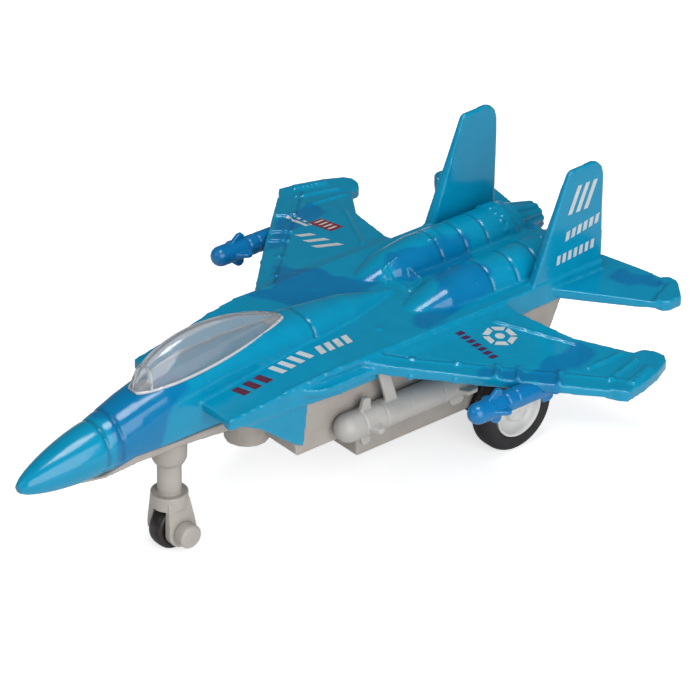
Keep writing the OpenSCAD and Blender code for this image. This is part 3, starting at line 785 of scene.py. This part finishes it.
# %% Group: fine scuffs
scuffs, start, end = new_group(
    "fine_scuffs", [("Scale", FLOAT, 400.0), ("Turn", FLOAT, 0.5)], [("Scuff", FLOAT)])
place = add(scuffs, "ShaderNodeTexCoord")
turned_place = add(scuffs, "ShaderNodeVectorRotate", rotation_type="AXIS_ANGLE", in_Axis=(0.3, 0.2, 1.0))
join(scuffs, place, turned_place, "Object", "Vector")
join(scuffs, start, turned_place, "Turn", "Angle")
stretched = add(scuffs, "ShaderNodeVectorMath", operation="MULTIPLY", in_1=(1.0, 0.045, 0.3))
join(scuffs, turned_place, stretched, 0, 0)
lines = add(scuffs, "ShaderNodeTexNoise", in_Detail=2.0, in_Roughness=0.4)
join(scuffs, stretched, lines, 0, "Vector")
join(scuffs, start, lines, "Scale", "Scale")
narrow = add(scuffs, "ShaderNodeMapRange", in_From_Min=0.68, in_From_Max=0.76)
join(scuffs, lines, narrow, "Fac", "Value")
join(scuffs, narrow, end, "Result", "Scuff")

# %% [markdown]
# Inner corners are darkened as painted shade. How much open space a point sees tells how deep in a corner it
# lies.

# %% Group: shaded corners
corners, start, end = new_group("shaded_corners", [("Reach", FLOAT, 0.002)], [("Open", FLOAT)])
near = add(corners, "ShaderNodeAmbientOcclusion", samples=4, only_local=False)
join(corners, start, near, "Reach", "Distance")
join(corners, near, end, "AO", "Open")
print("groups:", [g.name for g in bpy.data.node_groups])

# %% [markdown]
# The body paint is glossy enamel over cast zinc. The dark patches come from the values kept on the skin, on a
# sky blue ground. The clear coat is smooth, and the colour beneath has a faint mottle, painted shade in the
# grooves and inner corners, and a painted highlight along the edges.

# %% Tools for materials
def material(name, metallic=0.0, coat=0.0, coat_rough=0.05, ior=1.5):
    """A material with one Principled surface; uniform numbers are set straight on it."""
    made = bpy.data.materials.new(name)
    made.use_nodes = True
    tree = made.node_tree
    surface = tree.nodes["Principled BSDF"]
    surface.inputs["Metallic"].default_value = metallic
    surface.inputs["Coat Weight"].default_value = coat
    surface.inputs["Coat Roughness"].default_value = coat_rough
    surface.inputs["IOR"].default_value = ior
    return made, tree, surface


def mix(tree, factor, first, second, blend="MIX", factor_out=0, amount=1.0):
    """Mixes two colours by a mask; each colour is a node or four numbers, blend says how."""
    node = add(tree, "ShaderNodeMix", data_type="RGBA", blend_type=blend, clamp_factor=True)
    if factor is None:
        node.inputs[0].default_value = amount
    else:
        source = factor
        if amount != 1.0:
            source = add(tree, "ShaderNodeMath", operation="MULTIPLY", in_1=amount)
            join(tree, factor, source, factor_out, 0)
            factor_out = 0
        tree.links.new(source.outputs[factor_out], node.inputs[0])
    for value, into in ((first, 6), (second, 7)):
        if isinstance(value, (tuple, list)):
            node.inputs[into].default_value = (*value, 1.0) if len(value) == 3 else value
        else:
            out = 2 if value.bl_idname == "ShaderNodeMix" else 0
            tree.links.new(value.outputs[out], node.inputs[into])
    return node


def bump(tree, height, strength, distance, out=0):
    """A bump from a height; returns the node whose Normal feeds the surface."""
    node = add(tree, "ShaderNodeBump", in_Strength=strength, in_Distance=distance)
    join(tree, height, node, out, "Height")
    return node


# %% Body paint
paint, tree, surface = material("blue_enamel_on_zinc", coat=0.18, coat_rough=0.06)
surface.inputs["Specular IOR Level"].default_value = 0.34
mottle = use(tree, uneven, Scale=230.0, Low=0.0, High=1.0)
ground = mix(tree, mottle, (0.0, 0.252, 0.435), (0.002, 0.278, 0.47))
patches = add(tree, "ShaderNodeAttribute", attribute_name="dark_patch")
dark = mix(tree, mottle, (0.0, 0.17, 0.38), (0.002, 0.19, 0.41))
coloured = mix(tree, patches, ground, dark, factor_out=2)
# painted shade: the colour is darkened along the pressed grooves
line = add(tree, "ShaderNodeAttribute", attribute_name="groove")
groove_shaded = mix(tree, line, coloured, (0.0, 0.045, 0.12), factor_out=2, amount=0.42)
# painted shade: inner corners are darkened by ambient occlusion
near = use(tree, corners, Reach=0.0016)
painted_corner_shade = add(tree, "ShaderNodeMapRange", in_From_Min=0.25, in_From_Max=0.85, in_To_Min=0.32, in_To_Max=0.0)
join(tree, near, painted_corner_shade, 0, "Value")
shaded = mix(tree, painted_corner_shade, groove_shaded, (0.0, 0.05, 0.12))
# painted highlight: edges are lightened
edge = use(tree, lit_edges, Radius=0.00045, Sharp=0.9, Breakup=900.0)
edge_lit = mix(tree, edge, shaded, (0.16, 0.42, 0.58), amount=0.42)
join(tree, edge_lit, surface, 2, "Base Color")
sheen = use(tree, uneven, Scale=420.0, Low=0.13, High=0.24)
marks_on = use(tree, scuffs, Scale=1500.0, Turn=0.7)
rougher = add(tree, "ShaderNodeMath", operation="MULTIPLY_ADD", in_1=0.12)
join(tree, marks_on, rougher, 0, 0)
join(tree, sheen, rougher, "Value", 2)
join(tree, rougher, surface, 0, "Roughness")
skin_bump = bump(tree, sheen, 0.15, 0.00005)
join(tree, skin_bump, surface, "Normal", "Normal")


# %% [markdown]
# All the moulded parts differ in colour and gloss, and not in kind, so one function makes every plastic. The
# steels and the inks are made the same way, each from its own function.

# %% Moulded plastics, steels and inks
def plastic(name, low_colour, high_colour, rough, scale=500.0, pits=0.00003, coat=0.0, edge_light=0.3,
            scuffed=0.25, corner=0.3):
    """A moulded plastic: two close colours, uneven sheen, a painted highlight on edges, painted shade in
    corners and fine scuffs.
    """
    made, tree, surface = material(name, coat=coat, coat_rough=0.12)
    mottle = use(tree, uneven, Scale=scale * 0.45, Low=0.0, High=1.0)
    colour = mix(tree, mottle, low_colour, high_colour)
    # painted shade: corners are darkened by ambient occlusion
    near = use(tree, corners, Reach=0.0015)
    corner_shade_amount = add(tree, "ShaderNodeMapRange", in_From_Min=0.2, in_From_Max=0.85, in_To_Min=corner, in_To_Max=0.0)
    join(tree, near, corner_shade_amount, 0, "Value")
    corner_shaded = mix(tree, corner_shade_amount, colour, tuple(0.3 * c for c in low_colour))
    # painted highlight: edges are lightened by the amount edge_light
    edge = use(tree, lit_edges, Radius=0.0004, Sharp=0.9, Breakup=800.0)
    edge_lit = mix(tree, edge, corner_shaded, tuple(min(c * 1.5 + 0.05, 0.9) for c in high_colour), amount=edge_light)
    join(tree, edge_lit, surface, 2, "Base Color")
    sheen = use(tree, uneven, Scale=scale, Low=rough - 0.07, High=rough + 0.08)
    lines = use(tree, scuffs, Scale=1300.0, Turn=1.1)
    rougher = add(tree, "ShaderNodeMath", operation="MULTIPLY_ADD", in_1=scuffed)
    join(tree, lines, rougher, 0, 0)
    join(tree, sheen, rougher, "Value", 2)
    join(tree, rougher, surface, 0, "Roughness")
    skin_bump = bump(tree, sheen, 0.5, pits, out=1)
    join(tree, skin_bump, surface, "Normal", "Normal")
    return made


hull_grey = plastic("hull_grey_plastic", (0.36, 0.325, 0.295), (0.42, 0.385, 0.35), 0.42)
leg_grey = plastic("leg_grey_plastic", (0.4, 0.375, 0.335), (0.46, 0.43, 0.39), 0.4)
missile_grey = plastic("missile_grey_plastic", (0.4, 0.385, 0.365), (0.46, 0.44, 0.415), 0.36)
missile_blue = plastic("missile_blue_plastic", (0.0, 0.15, 0.39), (0.002, 0.18, 0.44), 0.24)
hub_white = plastic("hub_pale_plastic", (0.68, 0.67, 0.655), (0.76, 0.75, 0.735), 0.3, corner=0.4)
tyre_black = plastic("tyre_soft_rubber", (0.012, 0.009, 0.01), (0.02, 0.016, 0.017), 0.5, scale=700.0,
                     pits=0.00005, edge_light=0.12)
wheel_black = plastic("nose_wheel_black", (0.013, 0.009, 0.009), (0.022, 0.015, 0.016), 0.36)
case_grey = plastic("motor_case_plastic", (0.06, 0.06, 0.065), (0.085, 0.085, 0.09), 0.4)
gear_nylon = plastic("gear_nylon", (0.62, 0.6, 0.52), (0.7, 0.68, 0.6), 0.35, corner=0.5)


def steel(name, low, high, rough, scale):
    """A drawn or rolled steel: grain along its length in sheen and bump."""
    made, tree, surface = material(name, metallic=1.0)
    tone = use(tree, uneven, Scale=scale * 0.6, Low=0.0, High=1.0)
    colour = mix(tree, tone, low, high)
    lines = use(tree, scuffs, Scale=scale * 2.0, Turn=0.2)
    marked = mix(tree, lines, colour, tuple(0.55 * c for c in low), amount=0.5)
    join(tree, marked, surface, 2, "Base Color")
    sheen = use(tree, uneven, Scale=scale, Low=rough - 0.06, High=rough + 0.1)
    join(tree, sheen, surface, "Value", "Roughness")
    grain = bump(tree, lines, 0.25, 0.00002)
    join(tree, grain, surface, "Normal", "Normal")
    return made


bright_steel = steel("drawn_steel", (0.52, 0.52, 0.53), (0.63, 0.63, 0.64), 0.24, 900.0)
dark_steel = steel("tempered_spring_steel", (0.2, 0.21, 0.24), (0.28, 0.29, 0.33), 0.3, 700.0)


def ink(name, low, high):
    """Printed ink: flat colour that is a little thin in places."""
    made, tree, surface = material(name, coat=0.3, coat_rough=0.1)
    thin = use(tree, uneven, Scale=700.0, Low=0.0, High=1.0)
    colour = mix(tree, thin, low, high)
    join(tree, colour, surface, 2, "Base Color")
    sheen = use(tree, uneven, Scale=900.0, Low=0.3, High=0.42)
    join(tree, sheen, surface, "Value", "Roughness")
    grain = bump(tree, sheen, 0.2, 0.00003)
    join(tree, grain, surface, "Normal", "Normal")
    return made


pale_ink = ink("pale_ink", (0.5, 0.56, 0.58), (0.62, 0.66, 0.66))
red_ink = ink("dark_red_ink", (0.085, 0.006, 0.02), (0.12, 0.012, 0.03))
bright_red_ink = ink("red_panel_ink", (0.2, 0.012, 0.02), (0.27, 0.02, 0.03))
purple_ink = ink("purple_ink", (0.05, 0.012, 0.06), (0.08, 0.02, 0.09))

# %% [markdown]
# The canopy plastic is clear with a faint milky haze, because thin moulded plastic is never as clear as
# glass. Its walls bend light, so a bright rim shows where the eye looks along the wall.

# %% Clear canopy
clear, tree, surface = material("clear_canopy_plastic", ior=1.49)
surface.inputs["Transmission Weight"].default_value = 0.86
haze = use(tree, uneven, Scale=300.0, Low=0.0, High=1.0)
tint = mix(tree, haze, (0.84, 0.9, 0.94), (0.92, 0.95, 0.98))
join(tree, tint, surface, 2, "Base Color")
sheen = use(tree, uneven, Scale=500.0, Low=0.05, High=0.13)
fine = use(tree, scuffs, Scale=1800.0, Turn=0.9)
rougher = add(tree, "ShaderNodeMath", operation="MULTIPLY_ADD", in_1=0.15)
join(tree, fine, rougher, 0, 0)
join(tree, sheen, rougher, "Value", 2)
join(tree, rougher, surface, 0, "Roughness")
wave = bump(tree, haze, 0.15, 0.00008)
join(tree, wave, surface, "Normal", "Normal")


# %% [markdown]
# The rim and the arch are thicker than the bubble, so they scatter more light and look milky.

# %% Milky rim of the canopy
milky, tree, surface = material("milky_canopy_rim", coat=0.4, ior=1.49)
surface.inputs["Transmission Weight"].default_value = 0.35
cloud = use(tree, uneven, Scale=600.0, Low=0.0, High=1.0)
tint = mix(tree, cloud, (0.72, 0.76, 0.79), (0.82, 0.85, 0.87))
join(tree, tint, surface, 2, "Base Color")
sheen = use(tree, uneven, Scale=900.0, Low=0.16, High=0.3)
join(tree, sheen, surface, "Value", "Roughness")
wave = bump(tree, cloud, 0.2, 0.00005)
join(tree, wave, surface, "Normal", "Normal")

# %% [markdown]
# Each piece gets its material by name, so a missing one is easy to see in the list.

# %% Put the materials on
def dress(piece, made):
    piece.data.materials.clear()
    piece.data.materials.append(made)


dress(skin, paint)
dress(canopy, clear)
dress(tabs, leg_grey)
dress(canopy_rim, milky)
dress(canopy_arch, milky)
dress(nose_wheel, wheel_black)
for piece in tyres:
    dress(piece, tyre_black)
for piece in hubs:
    dress(piece, hub_white)
dress(dark_red_marks, red_ink)
dress(pale_marks, pale_ink)
dress(purple_marks, purple_ink)
dress(red_mark, bright_red_ink)
dress(panel_slashes, pale_ink)
clothes = {
    "lower_hull": hull_grey, "nose_fork": leg_grey, "nose_axle": leg_grey,
    "left_hull_missile": missile_grey, "right_hull_missile": missile_grey,
    "left_wing_missile": missile_blue, "right_wing_missile": missile_blue,
    "main_axle": bright_steel, "intermediate_pin": bright_steel, "spring_arbor": bright_steel,
    "body_screws": bright_steel, "mainspring": dark_steel,
    "motor_case_left": case_grey, "motor_case_right": case_grey,
    "axle_gear": gear_nylon, "intermediate_gear": gear_nylon, "spring_gear": gear_nylon,
}
for name, made in clothes.items():
    dress(nodes[name], made)
for name, node in nodes.items():
    if not node.data.materials:
        dress(node, hull_grey)
print("materials:", len(bpy.data.materials))

# %% [markdown]
# The toy stands on a pale sheet that stays white to the camera but keeps a soft shadow. A wide soft light
# from the port side gives the pale reflections on the fins and fuselage side, and a weaker one overhead
# opens the deck. The room is dim, because a bright room would wash the dark blue gloss to grey.

# %% Floor, lights and camera
FLOOR_HALF = 3.0
floor = new_piece("floor", mesh_of("floor", [(-FLOOR_HALF, -FLOOR_HALF, 0), (FLOOR_HALF, -FLOOR_HALF, 0),
                                             (FLOOR_HALF, FLOOR_HALF, 0), (-FLOOR_HALF, FLOOR_HALF, 0)],
                                   [(0, 1, 2, 3)], smooth=False), body=None)
floor_white, tree, surface = material("pale_floor")
sheet_tone = use(tree, uneven, Scale=8.0, Low=0.0, High=1.0)
sheet_colour = mix(tree, sheet_tone, (0.84, 0.84, 0.84), (0.86, 0.86, 0.86))
join(tree, sheet_colour, surface, 2, "Base Color")
sheet_sheen = use(tree, uneven, Scale=30.0, Low=0.8, High=0.95)
join(tree, sheet_sheen, surface, "Value", "Roughness")
eye = add(tree, "ShaderNodeLightPath")
glow = add(tree, "ShaderNodeEmission", in_Strength=0.64)
sheet = add(tree, "ShaderNodeAddShader")
seen = add(tree, "ShaderNodeMixShader")
end = tree.nodes["Material Output"]
join(tree, surface, sheet, 0, 0)
join(tree, glow, sheet, 0, 1)
join(tree, eye, seen, "Is Camera Ray", 0)
join(tree, surface, seen, 0, 1)
join(tree, sheet, seen, 0, 2)
join(tree, seen, end, 0, "Surface")
dress(floor, floor_white)


def soft_light(name, az, el, far, size, power, aim=(0, 0, 0.03), colour=(1, 1, 1)):
    """A square area light at a direction and distance from the toy."""
    lamp = bpy.data.lights.new(name, "AREA")
    lamp.shape = "SQUARE"
    lamp.size = size
    lamp.energy = power
    lamp.color = colour
    piece = bpy.data.objects.new(name, lamp)
    scene.collection.objects.link(piece)
    a, e = math.radians(az), math.radians(el)
    out = Vector((math.sin(a) * math.cos(e), -math.cos(a) * math.cos(e), math.sin(e)))
    piece.location = Vector(aim) + out * far
    piece.rotation_euler = (-out).to_track_quat("-Z", "Y").to_euler()
    return piece


lights = [
    soft_light("port_softbox", 72, 24, 0.8, 0.7, 5.6),
    soft_light("overhead_softbox", 40, 84, 0.9, 0.35, 4.0),
    soft_light("nose_softbox", 345, 30, 0.9, 0.5, 0.9),
]
world = bpy.data.worlds.new("room")
scene.world = world
world.use_nodes = True
room = world.node_tree.nodes["Background"]
room.inputs["Color"].default_value = (0.9, 0.95, 1.0, 1)
room.inputs["Strength"].default_value = 0.1

azimuth, elevation, roll = (math.radians(v) for v in (49.343, 30.231, 1.239))
back = Vector((math.sin(azimuth) * math.cos(elevation), -math.cos(azimuth) * math.cos(elevation),
               math.sin(elevation)))
right = Vector((math.cos(azimuth), math.sin(azimuth), 0))
up = back.cross(right)
right, up = (math.cos(roll) * right + math.sin(roll) * up, -math.sin(roll) * right + math.cos(roll) * up)
lens = bpy.data.cameras.new("camera")
lens.lens = 186.8
lens.sensor_width = 36
camera = bpy.data.objects.new("camera", lens)
scene.collection.objects.link(camera)
place = (1.758 * right + 21.838 * up + 651.17 * back + Vector((0, 7.25, 0))) * MM
camera.matrix_world = Matrix((
    (right.x, up.x, back.x, place.x), (right.y, up.y, back.y, place.y),
    (right.z, up.z, back.z, place.z), (0, 0, 0, 1)))
scene.camera = camera
scene.view_settings.view_transform = "Standard"
print("camera distance in mm:", round(camera.location.length / MM, 1))
